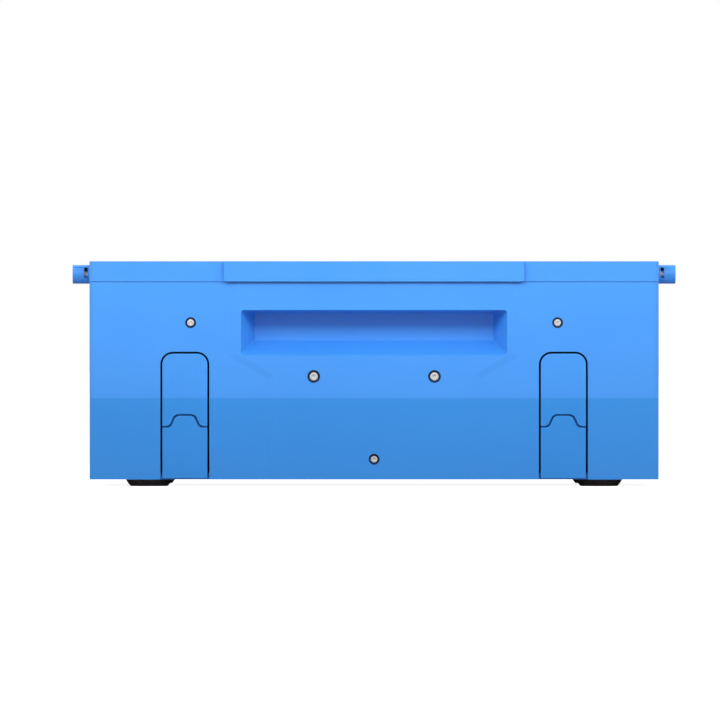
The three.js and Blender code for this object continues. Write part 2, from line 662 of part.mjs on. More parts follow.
function channel(number, x) {
  const group = new THREE.Group();
  group.position.set(x, panelFace, 0);
  const at = ({ x: across, z }, y = 0) => [across, y, z];
  const add = (name, body, material, spot) => group.add(part(`${name}_${number}`, body, material, spot));
  add('input_jack', phoneJack(), blackPlastic, at(place.inputJack));
  add('input_jack_nut', jackNut(), nickel, at(place.inputJack));
  add('link_jack', phoneJack(), blackPlastic, at(place.linkJack));
  add('link_jack_nut', jackNut(), nickel, at(place.linkJack));
  add('output_socket', xlrShell(), nickel, at(place.output));
  add('output_contacts', xlrContacts(), blackPlastic, at(place.output));
  add('pad_switch', padSwitchBody(), blackPlastic, at(place.pad));
  const shaft = rod('y', padSwitch.shaft, [behind - padSwitch.length + 2.4, knobTop - 2.6]);
  add('pad_shaft', shaft, nickel, at(place.pad));
  add('pad_knob', padKnob(), knobGrey, at(place.pad));
  add('lift_switch', toggleBody(), nickel, at(place.lift));
  add('lift_lever', toggleLever(), nickel, at(place.lift, toggle.pivot));
  add('polarity_switch', buttonBody(), blackPlastic, at(place.polarity));
  const cap = rod('y', button.cap, [behind - 3, button.proud]);
  add('polarity_button', cap, blueMoulding, at(place.polarity));
  return group;
}

// ---- Inside ----
function mainBoard() {
  return block([-board.half, board.half], [board.start, board.end], [board.low, board.low + board.thick]);
}

// The steel angle behind the rear wall that the transformers stand on.
function transformerBracket() {
  const { half, thick, low, high, shelf, end } = bracket;
  const outline = roundedRectangle([-half, half], [low, high], 2);
  const plate = pulled('y', outline, [inside, inside + thick], { curveSegments: 2 });
  const ledge = block([-half, half], [inside, end], [shelf, shelf + thick]);
  const screws = Object.values(rearScrews).filter(({ z }) => z < high);
  return cut(
    join(plate, ledge),
    ...screws.map(({ x, z, size }) => rod('y', size.shank + 0.1, [rear, inside + 5], [x, z])),
  );
}

function transformerCan() {
  const { radius, height } = can;
  return turned([[0, 0], [radius, 0], [radius, height - 1.5], [radius - 1.5, height], [0, height]]);
}

// ---- Assembly ----
const box = new THREE.Group();
box.add(part('case_body', caseBody(), blueEnamel));
box.add(part('lid', lid(), blueEnamel));
box.add(part('front_panel', frontPanel(), panelBlack));
footSpots().forEach(([x, y]) => {
  const name = `foot_${y < caseMiddle ? 'rear' : 'front'}_${x < 0 ? 'left' : 'right'}`;
  box.add(part(name, foot(), rubber, [x, y, 0]));
});
Object.entries(rearScrews).forEach(([name, spot]) => {
  const { body, at } = rearScrew(spot);
  box.add(part(name, body, steel, at));
});
box.add(hingeGroup());
box.add(lockGroup(-1, 'left'));
box.add(lockGroup(1, 'right'));
box.add(bayGroup(-1, 'left'));
box.add(bayGroup(1, 'right'));
box.add(channel(1, channelOffset));
box.add(channel(2, -channelOffset));
box.add(part('main_board', mainBoard(), boardGreen));
box.add(part('transformer_bracket', transformerBracket(), steel));
[1, 2].forEach((number) => {
  const x = number === 1 ? can.x : -can.x;
  const seat = bracket.shelf + bracket.thick + fitGap;
  box.add(part(`transformer_${number}`, transformerCan(), muMetal, [x, can.y, seat]));
});

export default box;
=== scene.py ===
# A two-channel direct injection box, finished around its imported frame.
import json
import math
import bmesh
import bpy
import numpy as np
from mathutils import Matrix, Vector


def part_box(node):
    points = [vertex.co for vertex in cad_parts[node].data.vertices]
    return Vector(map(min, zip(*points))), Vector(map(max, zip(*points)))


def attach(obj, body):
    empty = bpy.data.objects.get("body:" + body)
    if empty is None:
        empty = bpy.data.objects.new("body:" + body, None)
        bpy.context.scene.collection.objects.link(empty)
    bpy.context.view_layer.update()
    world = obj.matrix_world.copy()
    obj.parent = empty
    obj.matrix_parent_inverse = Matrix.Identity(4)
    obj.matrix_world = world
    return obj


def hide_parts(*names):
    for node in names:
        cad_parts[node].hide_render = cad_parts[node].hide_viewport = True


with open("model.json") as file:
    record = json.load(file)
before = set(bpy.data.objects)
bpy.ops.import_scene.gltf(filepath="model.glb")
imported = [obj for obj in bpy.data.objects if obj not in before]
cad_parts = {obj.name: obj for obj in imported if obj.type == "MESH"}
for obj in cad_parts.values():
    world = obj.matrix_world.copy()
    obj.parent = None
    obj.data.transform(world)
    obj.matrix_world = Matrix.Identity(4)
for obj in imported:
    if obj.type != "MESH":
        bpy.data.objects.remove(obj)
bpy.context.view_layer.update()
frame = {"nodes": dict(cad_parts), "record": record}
nodes = frame["nodes"]
mm = 0.001
turn = 2 * math.pi
print("frame loaded:", len(nodes), "nodes")


# where things are, all read from the frame
def middle(node):
    low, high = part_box(node)
    return np.array((low + high) / 2) / mm


def low(node):
    return np.array(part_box(node)[0]) / mm


def high(node):
    return np.array(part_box(node)[1]) / mm


panelY = high("front_panel")[1]
rearY = low("case_body")[1]
boardTop = high("main_board")[2]
channels = (1, 2)
sides = {"left": -1, "right": 1}
rearward, outward, upward = (0, -1, 0), (0, 1, 0), (0, 0, 1)


# Camera, light and floor.
view = {"lens": 600, "sensor": 36, "width": 273.1, "left": -5.35, "height": 47.95, "plane": -74.6}
camera = bpy.data.objects.new("camera", bpy.data.cameras.new("camera"))
camera.data.lens = view["lens"]
camera.data.sensor_width = view["sensor"]
camera.data.clip_start = 0.05
reach = view["width"] / view["sensor"] * view["lens"]
camera.location = Vector((view["left"], view["plane"] - reach, view["height"])) * mm
camera.rotation_euler = (math.radians(90), 0, 0)
bpy.context.scene.collection.objects.link(camera)
bpy.context.scene.camera = camera
bpy.context.scene.view_settings.view_transform = "Standard"
bpy.context.scene.view_settings.look = "None"

# each softbox: where it stands, what it faces, how wide and how tall it is in metres, and its power
softboxes = {
    "nearSoftbox": {
        "at": (0, -0.20, 0.15), "aim": (0, -0.07, 0.06), "wide": 0.5, "tall": 0.05, "power": 0.50,
        "mirrored": False,
    },
    "farSoftbox": {"at": (0.1, 0.80, 0.60), "aim": (0, 0.07, 0.04), "wide": 1.6, "tall": 0.8, "power": 4.5},
    "leftSoftbox": {"at": (-1.0, 0.15, 0.65), "aim": (0, 0, 0.04), "wide": 1.4, "tall": 1.0, "power": 4.5},
    "rightSoftbox": {"at": (1.0, 0.15, 0.65), "aim": (0, 0, 0.04), "wide": 1.4, "tall": 1.0, "power": 4.5},
}
for name, box in softboxes.items():
    light = bpy.data.objects.new(name, bpy.data.lights.new(name, "AREA"))
    light.data.shape = "RECTANGLE"
    light.data.size = box["wide"]
    light.data.size_y = box["tall"]
    light.data.energy = box["power"]
    light.location = box["at"]
    light.rotation_euler = (Vector(box["aim"]) - light.location).to_track_quat("-Z", "Y").to_euler()
    light.visible_camera = False
    light.visible_glossy = box.get("mirrored", True)
    bpy.context.scene.collection.objects.link(light)

# The studio: plain white behind the object, and room light that falls from pale above to dim below.
studio = bpy.data.worlds.new("studio")
studio.use_nodes = True
roomLight = {"below": 0.10, "level": 0.62, "above": 0.58, "white": 1.0}
tree = studio.node_tree
direction = tree.nodes.new("ShaderNodeTexCoord")
height = tree.nodes.new("ShaderNodeSeparateXYZ")
fade = tree.nodes.new("ShaderNodeValToRGB")
half = tree.nodes.new("ShaderNodeMapRange")
rays = tree.nodes.new("ShaderNodeLightPath")
strength = tree.nodes.new("ShaderNodeMix")
half.inputs["From Min"].default_value = -1
fade.color_ramp.elements.new(0.5)
for stop, part in zip(fade.color_ramp.elements, ("below", "level", "above")):
    stop.color = (*[roomLight[part]] * 3, 1)
strength.inputs["B"].default_value = roomLight["white"]
tree.nodes["Background"].inputs["Color"].default_value = (1, 1, 1, 1)
tree.links.new(direction.outputs["Generated"], height.inputs["Vector"])
tree.links.new(height.outputs["Z"], half.inputs["Value"])
tree.links.new(half.outputs["Result"], fade.inputs["Fac"])
tree.links.new(rays.outputs["Is Camera Ray"], strength.inputs["Factor"])
tree.links.new(fade.outputs["Color"], strength.inputs["A"])
tree.links.new(strength.outputs["Result"], tree.nodes["Background"].inputs["Strength"])
bpy.context.scene.world = studio


# Materials.
# Starts a material on one Principled shader with constants on its own sockets.
def startMaterial(name, colour, roughness, metallic=0.0, **extra):
    material = bpy.data.materials.new(name)
    material.use_nodes = True
    shader = material.node_tree.nodes["Principled BSDF"]
    shader.inputs["Base Color"].default_value = (*colour, 1)
    shader.inputs["Roughness"].default_value = roughness
    shader.inputs["Metallic"].default_value = metallic
    for socket, value in extra.items():
        shader.inputs[socket.replace("_", " ")].default_value = value
    return material


def addNode(material, kind, **settings):
    node = material.node_tree.nodes.new(kind)
    for key, value in settings.items():
        if key in node.inputs:
            node.inputs[key].default_value = value
        else:
            setattr(node, key, value)
    return node


def connect(material, source, output, target, socket):
    material.node_tree.links.new(source.outputs[output], target.inputs[socket])


def principled(material):
    return material.node_tree.nodes["Principled BSDF"]


# Noise read in the object's own space, stretched along any axis by squash.
def noiseOf(material, scale, detail=3.0, squash=(1, 1, 1)):
    place = addNode(material, "ShaderNodeTexCoord")
    mapping = addNode(material, "ShaderNodeMapping", Scale=squash)
    noise = addNode(material, "ShaderNodeTexNoise", Scale=scale, Detail=detail, Roughness=0.55)
    connect(material, place, "Object", mapping, "Vector")
    connect(material, mapping, "Vector", noise, "Vector")
    return noise


# A fine relief: the noise's height through a Bump node, distance in metres.
def addRelief(material, noise, strength, distance):
    bump = addNode(material, "ShaderNodeBump", Strength=strength, Distance=distance)
    connect(material, noise, "Fac", bump, "Height")
    connect(material, bump, "Normal", principled(material), "Normal")


# The noise spread between two values on one socket of the shader.
noiseRange = (0.35, 0.65)


def spread(material, noise, socket, fromValue, toValue):
    span = addNode(material, "ShaderNodeMapRange")
    span.inputs["From Min"].default_value, span.inputs["From Max"].default_value = noiseRange
    span.inputs["To Min"].default_value = fromValue
    span.inputs["To Max"].default_value = toValue
    connect(material, noise, "Fac", span, "Value")
    connect(material, span, "Result", principled(material), socket)


# The noise blended between two colours.
def tint(material, noise, first, second):
    ramp = addNode(material, "ShaderNodeValToRGB")
    for stop, place, colour in zip(ramp.color_ramp.elements, noiseRange, (first, second)):
        stop.position = place
        stop.color = (*colour, 1)
    connect(material, noise, "Fac", ramp, "Fac")
    connect(material, ramp, "Color", principled(material), "Base Color")
    return ramp


blue = (0.045, 0.265, 0.75)


# The rear wall leans in below its crease, and painted shade darkens its base colour there, standing in for the
# deeper shading that the lean gets under the lights; the crease's shade entry is that painted shade colour. The
# painted shade mask is one below the crease's height and nothing above it, on the rearward faces of the wall's
# skin.
crease = {"height": 33.5, "blend": 0.3, "skin": 4.5, "facing": -0.7, "shade": (0.52, 0.865, 0.875)}


def shadeBelowCrease(material, ramp):
    place = addNode(material, "ShaderNodeTexCoord")
    split = addNode(material, "ShaderNodeSeparateXYZ")
    below = addNode(material, "ShaderNodeMapRange", interpolation_type="SMOOTHSTEP")
    below.inputs["From Min"].default_value = (crease["height"] + crease["blend"]) * mm
    below.inputs["From Max"].default_value = (crease["height"] - crease["blend"]) * mm
    onWall = addNode(material, "ShaderNodeMath", operation="LESS_THAN")
    onWall.inputs[1].default_value = (rearY + crease["skin"]) * mm
    way = addNode(material, "ShaderNodeSeparateXYZ")
    facing = addNode(material, "ShaderNodeMath", operation="LESS_THAN")
    facing.inputs[1].default_value = crease["facing"]
    outer = addNode(material, "ShaderNodeMath", operation="MULTIPLY")
    paintedShadeMask = addNode(material, "ShaderNodeMath", operation="MULTIPLY")
    # Painted shade: the base colour multiplied by the crease's shade colour wherever the mask is one.
    paint = addNode(material, "ShaderNodeMixRGB", blend_type="MULTIPLY")
    paint.inputs["Color2"].default_value = (*crease["shade"], 1)
    connect(material, place, "Object", split, "Vector")
    connect(material, split, "Z", below, "Value")
    connect(material, split, "Y", onWall, "Value")
    material.node_tree.links.new(below.outputs["Result"], paintedShadeMask.inputs[0])
    connect(material, place, "Normal", way, "Vector")
    connect(material, way, "Y", facing, "Value")
    material.node_tree.links.new(onWall.outputs["Value"], outer.inputs[0])
    material.node_tree.links.new(facing.outputs["Value"], outer.inputs[1])
    material.node_tree.links.new(outer.outputs["Value"], paintedShadeMask.inputs[1])
    connect(material, paintedShadeMask, "Value", paint, "Fac")
    connect(material, ramp, "Color", paint, "Color1")
    connect(material, paint, "Color", principled(material), "Base Color")


# Sprayed enamel: a faint orange peel, with small changes of gloss and of depth of colour.
def enamelMaterial():
    made = startMaterial("blueEnamel", blue, 0.36, Coat_Weight=0.25, Coat_Roughness=0.16)
    addRelief(made, noiseOf(made, 900, 2.0), 0.10, 0.00004)
    spread(made, noiseOf(made, 60), "Roughness", 0.33, 0.41)
    # Painted shade below the crease darkens this enamel's base colour.
    shadeBelowCrease(made, tint(made, noiseOf(made, 14), (0.044, 0.262, 0.74), (0.049, 0.272, 0.76)))
    return made


# Moulded plastic in the same blue: a finer spark-eroded grain and no clear coat.
def mouldingMaterial():
    made = startMaterial("blueMoulding", blue, 0.42)
    addRelief(made, noiseOf(made, 2600, 3.0), 0.12, 0.00003)
    spread(made, noiseOf(made, 80), "Roughness", 0.38, 0.46)
    # Painted shade below the crease darkens this moulding's base colour.
    shadeBelowCrease(made, tint(made, noiseOf(made, 25), (0.043, 0.260, 0.73), (0.047, 0.270, 0.75)))
    return made


# Powder coat on the connector panel: a pebbled grain.
def panelMaterial():
    made = startMaterial("panelPowderCoat", (0.013, 0.014, 0.017), 0.5)
    addRelief(made, noiseOf(made, 1500, 4.0), 0.35, 0.00006)
    spread(made, noiseOf(made, 120), "Roughness", 0.42, 0.58)
    tint(made, noiseOf(made, 500), (0.010, 0.011, 0.013), (0.019, 0.020, 0.024))
    return made


def blackPlasticMaterial():
    made = startMaterial("blackMoulding", (0.012, 0.012, 0.013), 0.45)
    addRelief(made, noiseOf(made, 1800, 3.0), 0.18, 0.00004)
    spread(made, noiseOf(made, 90), "Roughness", 0.38, 0.55)
    tint(made, noiseOf(made, 40), (0.010, 0.010, 0.011), (0.017, 0.017, 0.018))
    return made


# Cups under the rear screws: a blue-black moulding whose dark colour is painted shade, standing in for the shadow
# inside each screw's counterbore.
def cupMaterial():
    made = startMaterial("screwCupPaintedShade", (0.007, 0.024, 0.085), 0.42)
    addRelief(made, noiseOf(made, 1800, 3.0), 0.15, 0.00003)
    spread(made, noiseOf(made, 90), "Roughness", 0.36, 0.50)
    tint(made, noiseOf(made, 120), (0.006, 0.021, 0.074), (0.009, 0.028, 0.096))
    return made


# Foot rubber: warm black, polished where it was moulded, with a little dust in its grain.
def rubberMaterial():
    made = startMaterial("footRubber", (0.11, 0.078, 0.068), 0.3, Coat_Weight=0.8, Coat_Roughness=0.2)
    addRelief(made, noiseOf(made, 1200, 4.0), 0.25, 0.00006)
    spread(made, noiseOf(made, 200), "Roughness", 0.26, 0.42)
    tint(made, noiseOf(made, 150), (0.095, 0.067, 0.058), (0.130, 0.093, 0.080))
    return made


# Bright zinc plate: a fine crystalline mottle and rolling lines along X.
def zincMaterial():
    made = startMaterial("zincPlate", (0.62, 0.62, 0.64), 0.28, 1.0)
    addRelief(made, noiseOf(made, 700, 5.0, (0.15, 1, 1)), 0.10, 0.00003)
    spread(made, noiseOf(made, 260, 4.0), "Roughness", 0.26, 0.34)
    tint(made, noiseOf(made, 160), (0.60, 0.60, 0.62), (0.66, 0.66, 0.67))
    return made


def nickelMaterial():
    made = startMaterial("satinNickel", (0.56, 0.54, 0.50), 0.27, 1.0)
    addRelief(made, noiseOf(made, 1400, 4.0), 0.10, 0.00002)
    spread(made, noiseOf(made, 300), "Roughness", 0.20, 0.34)
    tint(made, noiseOf(made, 120), (0.54, 0.52, 0.48), (0.60, 0.58, 0.54))
    return made


def goldMaterial():
    made = startMaterial("goldFlash", (0.83, 0.58, 0.24), 0.22, 1.0)
    spread(made, noiseOf(made, 400), "Roughness", 0.16, 0.30)
    tint(made, noiseOf(made, 200), (0.78, 0.53, 0.21), (0.88, 0.63, 0.28))
    return made


# Machine screws in the rear wall: passivated steel, bright and nearly even.
def screwMaterial():
    made = startMaterial("screwSteel", (0.66, 0.65, 0.64), 0.34, 0.35)
    addRelief(made, noiseOf(made, 2200, 4.0), 0.2, 0.00003)
    spread(made, noiseOf(made, 900), "Roughness", 0.28, 0.42)
    tint(made, noiseOf(made, 700), (0.62, 0.61, 0.60), (0.71, 0.70, 0.68))
    return made


# Solder mask over a copper pour: squares of trace pattern show as a lighter green in relief.
def boardMaterial():
    made = startMaterial("solderMask", (0.010, 0.085, 0.040), 0.32, Coat_Weight=0.4,
                         Coat_Roughness=0.12)
    place = addNode(made, "ShaderNodeTexCoord")
    traces = addNode(made, "ShaderNodeTexBrick", Scale=110.0)
    traces.inputs["Color1"].default_value = (0.010, 0.090, 0.042, 1)
    traces.inputs["Color2"].default_value = (0.008, 0.072, 0.034, 1)
    traces.inputs["Mortar"].default_value = (0.022, 0.150, 0.070, 1)
    traces.inputs["Mortar Size"].default_value = 0.03
    connect(made, place, "Object", traces, "Vector")
    connect(made, traces, "Color", principled(made), "Base Color")
    addRelief(made, traces, 0.25, 0.00005)
    spread(made, noiseOf(made, 150), "Roughness", 0.26, 0.40)
    return made


# A deep-drawn can: faint draw marks that run up the wall.
def canMaterial():
    made = startMaterial("drawnCan", (0.40, 0.39, 0.37), 0.36, 1.0)
    addRelief(made, noiseOf(made, 900, 5.0, (1, 1, 0.04)), 0.22, 0.00004)
    spread(made, noiseOf(made, 200, 4.0, (1, 1, 0.1)), "Roughness", 0.28, 0.46)
    tint(made, noiseOf(made, 90), (0.34, 0.33, 0.31), (0.46, 0.45, 0.43))
    return made


# A battery's printed jacket: pale grey with a blue band at the stud end, read along Y.
def jacketMaterial():
    made = startMaterial("batteryJacket", (0.5, 0.5, 0.52), 0.34, 0.1, Coat_Weight=0.3,
                         Coat_Roughness=0.1)
    place = addNode(made, "ShaderNodeTexCoord")
    split = addNode(made, "ShaderNodeSeparateXYZ")
    ramp = addNode(made, "ShaderNodeValToRGB")
    ramp.color_ramp.interpolation = "CONSTANT"
    ramp.color_ramp.elements[0].color = (0.52, 0.53, 0.55, 1)
    ramp.color_ramp.elements[1].color = (0.03, 0.12, 0.36, 1)
    ramp.color_ramp.elements[1].position = 0.72
    span = addNode(made, "ShaderNodeMapRange")
    span.inputs["From Min"].default_value = low("battery_left")[1] * mm
    span.inputs["From Max"].default_value = high("battery_left")[1] * mm
    connect(made, place, "Object", split, "Vector")
    connect(made, split, "Y", span, "Value")
    connect(made, span, "Result", ramp, "Fac")
    connect(made, ramp, "Color", principled(made), "Base Color")
    spread(made, noiseOf(made, 120), "Roughness", 0.31, 0.37)
    addRelief(made, noiseOf(made, 2400), 0.05, 0.00002)
    return made


# Knob rubber: dead matt with a soft sheen at grazing angles.
def knobMaterial():
    made = startMaterial("knobSoftTouch", (0.020, 0.021, 0.024), 0.62, Sheen_Weight=0.25,
                         Sheen_Roughness=0.5)
    addRelief(made, noiseOf(made, 3000, 3.0), 0.2, 0.00003)
    spread(made, noiseOf(made, 300), "Roughness", 0.55, 0.72)
    tint(made, noiseOf(made, 60), (0.018, 0.019, 0.022), (0.026, 0.027, 0.031))
    return made


def inkMaterial():
    made = startMaterial("whiteInk", (0.80, 0.80, 0.78), 0.6)
    tint(made, noiseOf(made, 900), (0.74, 0.74, 0.72), (0.84, 0.84, 0.82))
    spread(made, noiseOf(made, 400), "Roughness", 0.5, 0.7)
    return made


def lensMaterial():
    made = startMaterial("lampLens", (0.05, 0.62, 0.16), 0.12, Coat_Weight=0.6, Coat_Roughness=0.05)
    principled(made).inputs["Emission Color"].default_value = (0.08, 0.9, 0.22, 1)
    principled(made).inputs["Emission Strength"].default_value = 0.35
    tint(made, noiseOf(made, 800), (0.04, 0.55, 0.13), (0.07, 0.70, 0.20))
    return made


# Soft insulation, in any colour.
def wireMaterial(name, colour):
    made = startMaterial(name, colour, 0.42)
    darker = tuple(c * 0.8 for c in colour)
    tint(made, noiseOf(made, 300), darker, colour)
    spread(made, noiseOf(made, 500), "Roughness", 0.36, 0.5)
    addRelief(made, noiseOf(made, 1500), 0.1, 0.00003)
    return made


# Component bodies carry their colours as an attribute on the mesh.
def componentMaterial():
    made = startMaterial("componentBody", (0.5, 0.4, 0.3), 0.4)
    colour = addNode(made, "ShaderNodeAttribute", attribute_name="bodyColour")
    connect(made, colour, "Color", principled(made), "Base Color")
    addRelief(made, noiseOf(made, 1200), 0.12, 0.00003)
    spread(made, noiseOf(made, 300), "Roughness", 0.32, 0.5)
    return made


materials = {
    "blue_enamel": enamelMaterial(),
    "blue_moulding": mouldingMaterial(),
    "panel_black": panelMaterial(),
    "black_plastic": blackPlasticMaterial(),
    "screw_cup": cupMaterial(),
    "foot_rubber": rubberMaterial(),
    "steel": zincMaterial(),
    "nickel": nickelMaterial(),
    "gold_contact": goldMaterial(),
    "screw": screwMaterial(),
    "board_green": boardMaterial(),
    "transformer_can": canMaterial(),
    "battery_wrap": jacketMaterial(),
    "knob_grey": knobMaterial(),
    "white_print": inkMaterial(),
    "lamp_lens": lensMaterial(),
    "wire_red": wireMaterial("redWire", (0.45, 0.016, 0.012)),
    "wire_black": wireMaterial("blackWire", (0.016, 0.016, 0.017)),
    "component": componentMaterial(),
}
print("materials made:", len(materials))


# Carried-over nodes: their own finish, and edges broken as a real tool leaves them.
# The loose triangles are welded and their flat faces dissolved, so that only true edges are rounded.
def softEdges(node, width, sharperThan=32):
    item = nodes[node]
    weld = item.modifiers.new("weld", "WELD")
    weld.merge_threshold = 0.000004
    flat = item.modifiers.new("flat", "DECIMATE")
    flat.decimate_type = "DISSOLVE"
    flat.angle_limit = math.radians(0.6)
    edge = item.modifiers.new("edge", "BEVEL")
    edge.width = width * mm
    edge.segments = 3
    edge.limit_method = "ANGLE"
    edge.angle_limit = math.radians(sharperThan)
    edge.use_clamp_overlap = True
    edge.harden_normals = False
    shade = item.modifiers.new("shade", "WEIGHTED_NORMAL")
    shade.keep_sharp = True


# edge rounding in millimetres for each kind of node; the finish is the node's own slot
edgeRounding = {
    "case_body": 0.45, "lid": 0.55, "front_panel": 0.2, "transformer_bracket": 0.3, "main_board": 0.1,
    "battery_bay": 0.25, "battery_drawer": 0.22, "drawer_pull": 0.22, "lid_lock_lever": 0.15,
    "lid_lock_spindle": 0.15, "hinge_leaf": 0.15, "hinge_pin": 0.1, "pull_pin": 0.08,
    "input_jack": 0.3, "link_jack": 0.3, "pad_switch": 0.3, "lift_switch": 0.25, "polarity_switch": 0.3,
}
slotOf = {entry["node"]: entry["material_slot"] for entry in frame["record"]["subparts"]}
for name, item in nodes.items():
    item.data.materials.clear()
    finish = "screw" if name.startswith("lid_lock_spindle") else slotOf[name]
    item.data.materials.append(materials[finish])
    for stem, width in edgeRounding.items():
        if name.startswith(stem):
            softEdges(name, width)
            break
print("frame nodes finished")


# Building new pieces.
# Quads between closed loops of points, one loop to a row.
def loopQuads(rows, columns):
    row = np.arange(rows - 1)[:, None] * columns
    here = np.arange(columns)[None, :]
    following = (here + 1) % columns
    quads = np.stack([row + here, row + following, row + columns + following, row + columns + here], -1)
    return quads.reshape(-1, 4)


# Welds a mesh's seam and poles, and turns its faces outwards.
def weldAndFace(mesh, within):
    work = bmesh.new()
    work.from_mesh(mesh)
    bmesh.ops.remove_doubles(work, verts=work.verts, dist=within)
    bmesh.ops.recalc_face_normals(work, faces=work.faces)
    work.to_mesh(mesh)
    work.free()


# Puts arrays of points and faces into a piece. A face bend sharper than crispAngle stays a crisp edge.
crispAngle = 38


def makePiece(name, points, quads, finish, body, replaces=(), smooth=True, colours=None):
    mesh = bpy.data.meshes.new(name)
    mesh.from_pydata((np.asarray(points).reshape(-1, 3) * mm).tolist(), [], quads.tolist())
    if colours is not None:
        layer = mesh.color_attributes.new("bodyColour", "FLOAT_COLOR", "POINT")
        layer.data.foreach_set("color", np.asarray(colours, np.float32).reshape(-1))
    weldAndFace(mesh, 1e-7)
    mesh.polygons.foreach_set("use_smooth", [smooth] * len(mesh.polygons))
    mesh.set_sharp_from_angle(angle=math.radians(crispAngle))
    item = bpy.data.objects.new(name, mesh)
    bpy.context.scene.collection.objects.link(item)
    item.data.materials.append(materials[finish])
    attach(item, body)
    if replaces:
        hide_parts(*replaces)
    return item


# Two directions square to an axis; for the panel's axis they are X and Z.
def squareTo(axis):
    axis = np.asarray(axis, float) / np.linalg.norm(axis)
    across = np.array((1.0, 0, 0)) if abs(axis[0]) < 0.9 else np.array((0, 1.0, 0))
    up = np.cross(across, axis)
    up = up / np.linalg.norm(up)
    return axis, np.cross(axis, up), up


# Loops about an axis: each point is centre + axis * height + radius * (across cos a + up sin a).
def loopsAbout(radii, heights, centre, axis):
    radii = np.atleast_2d(radii)
    axis, across, up = squareTo(axis)
    angle = np.arange(radii.shape[1]) / radii.shape[1] * turn
    spokes = across * np.cos(angle)[:, None] + up * np.sin(angle)[:, None]
    return np.asarray(centre) + axis * np.asarray(heights)[:, None, None] + radii[:, :, None] * spokes


# Each inner corner of a profile becomes a short curve: t squares weigh its two sides and the corner.
def eased(profile, radius, steps=3):
    profile = [np.array(p, float) for p in profile]
    out = [profile[0]]
    for before, corner, after in zip(profile, profile[1:], profile[2:]):
        back, on = before - corner, after - corner
        reach = min(radius, np.linalg.norm(back) * 0.45, np.linalg.norm(on) * 0.45)
        start = corner + back / max(np.linalg.norm(back), 1e-9) * reach
        end = corner + on / max(np.linalg.norm(on), 1e-9) * reach
        for t in np.linspace(0, 1, steps + 1):
            out.append(start * (1 - t) ** 2 + corner * 2 * t * (1 - t) + end * t * t)
    out.append(profile[-1])
    return np.array(out)


# A turned piece: its eased profile of (radius, height) carried once round the axis.
def turnedPiece(name, profile, centre, axis, finish, body, ease=0.2, columns=48, ripple=None, **more):
    curve = eased(profile, ease)
    radii = np.repeat(curve[:, :1], columns, 1)
    if ripple is not None:
        angle = np.arange(columns) / columns * turn
        radii = ripple(radii, curve[:, 1:], angle[None, :])
    points = loopsAbout(radii, curve[:, 1], centre, axis)
    return makePiece(name, points, loopQuads(*radii.shape), finish, body, **more)


# A rectangle with round corners as one loop: a quarter circle about each corner's own centre.
def roundedLoop(halfAcross, halfUp, radius, columns=48):
    angle = (np.arange(columns) + 0.5) / columns * turn
    quarter = np.floor(angle / (turn / 4)).astype(int)
    signX = np.array([1, -1, -1, 1])[quarter]
    signZ = np.array([1, 1, -1, -1])[quarter]
    local = quarter * turn / 4 + (np.arange(columns) % (columns // 4)) / (columns // 4 - 1) * turn / 4
    x = signX * (halfAcross - radius) + radius * np.cos(local)
    z = signZ * (halfUp - radius) + radius * np.sin(local)
    return np.stack([x, z], -1)


# A stack of rounded loops along an axis: rows of (half across, half up, corner radius, height).
def stackedPoints(rows, centre, axis, columns=48):
    axis, across, up = squareTo(axis)
    loops = []
    for halfAcross, halfUp, radius, height in rows:
        flat = roundedLoop(halfAcross, halfUp, radius, columns)
        loops.append(np.asarray(centre) + axis * height + flat[:, :1] * across + flat[:, 1:] * up)
    return np.array(loops)


def stackedPiece(name, rows, centre, axis, finish, body, columns=48, **more):
    points = stackedPoints(rows, centre, axis, columns)
    return makePiece(name, points, loopQuads(*points.shape[:2]), finish, body, **more)


# A block with round corners and eased edges, between two heights on an axis, closed at both ends.
leastRadius = 0.02


def blockRows(halfAcross, halfUp, radius, start, end, ease=0.3):
    rows = [(0, 0, 0, start)]
    for steps, edge, way in ((np.linspace(0, 1, 4), start, 1), (np.linspace(1, 0, 4), end, -1)):
        for k in steps:
            draw = ease * (1 - math.sin(k * turn / 4))
            height = edge + way * ease * (1 - math.cos(k * turn / 4))
            rows.append((halfAcross - draw, halfUp - draw, max(radius - draw, leastRadius), height))
    rows.append((0, 0, 0, end))
    return rows


# Several sets of points and quads as one.
def gathered(parts):
    points, quads, colours, count = [], [], [], 0
    for part in parts:
        flat = np.asarray(part["points"]).reshape(-1, 3)
        points.append(flat)
        quads.append(part["quads"] + count)
        colours.append(np.repeat([(*part.get("colour", (0.5, 0.5, 0.5)), 1)], len(flat), 0))
        count += len(flat)
    return np.concatenate(points), np.concatenate(quads), np.concatenate(colours)


def turnedPart(profile, centre, axis, ease=0.15, columns=20, colour=(0.5, 0.5, 0.5)):
    curve = eased(profile, ease, 2)
    radii = np.repeat(curve[:, :1], columns, 1)
    points = loopsAbout(radii, curve[:, 1], centre, axis)
    return {"points": points, "quads": loopQuads(*radii.shape), "colour": colour}


def blockPart(halfAcross, halfUp, radius, start, end, centre, axis, colour=(0.5, 0.5, 0.5), ease=0.2):
    points = stackedPoints(blockRows(halfAcross, halfUp, radius, start, end, ease), centre, axis, 16)
    return {"points": points, "quads": loopQuads(*points.shape[:2]), "colour": colour}


# A smooth path through a few points: each stretch is the Catmull-Rom cubic of its four neighbours.
def smoothPath(points, steps=8):
    points = np.array(points, float)
    padded = np.vstack([2 * points[0] - points[1], points, 2 * points[-1] - points[-2]])
    t = np.linspace(0, 1, steps, endpoint=False)[:, None]
    stretches = []
    for a, b, c, d in zip(padded, padded[1:], padded[2:], padded[3:]):
        square, cube = 2 * a - 5 * b + 4 * c - d, 3 * b - a - 3 * c + d
        stretches.append(0.5 * (2 * b + (c - a) * t + square * t ** 2 + cube * t ** 3))
    return np.vstack([*stretches, points[-1:]])


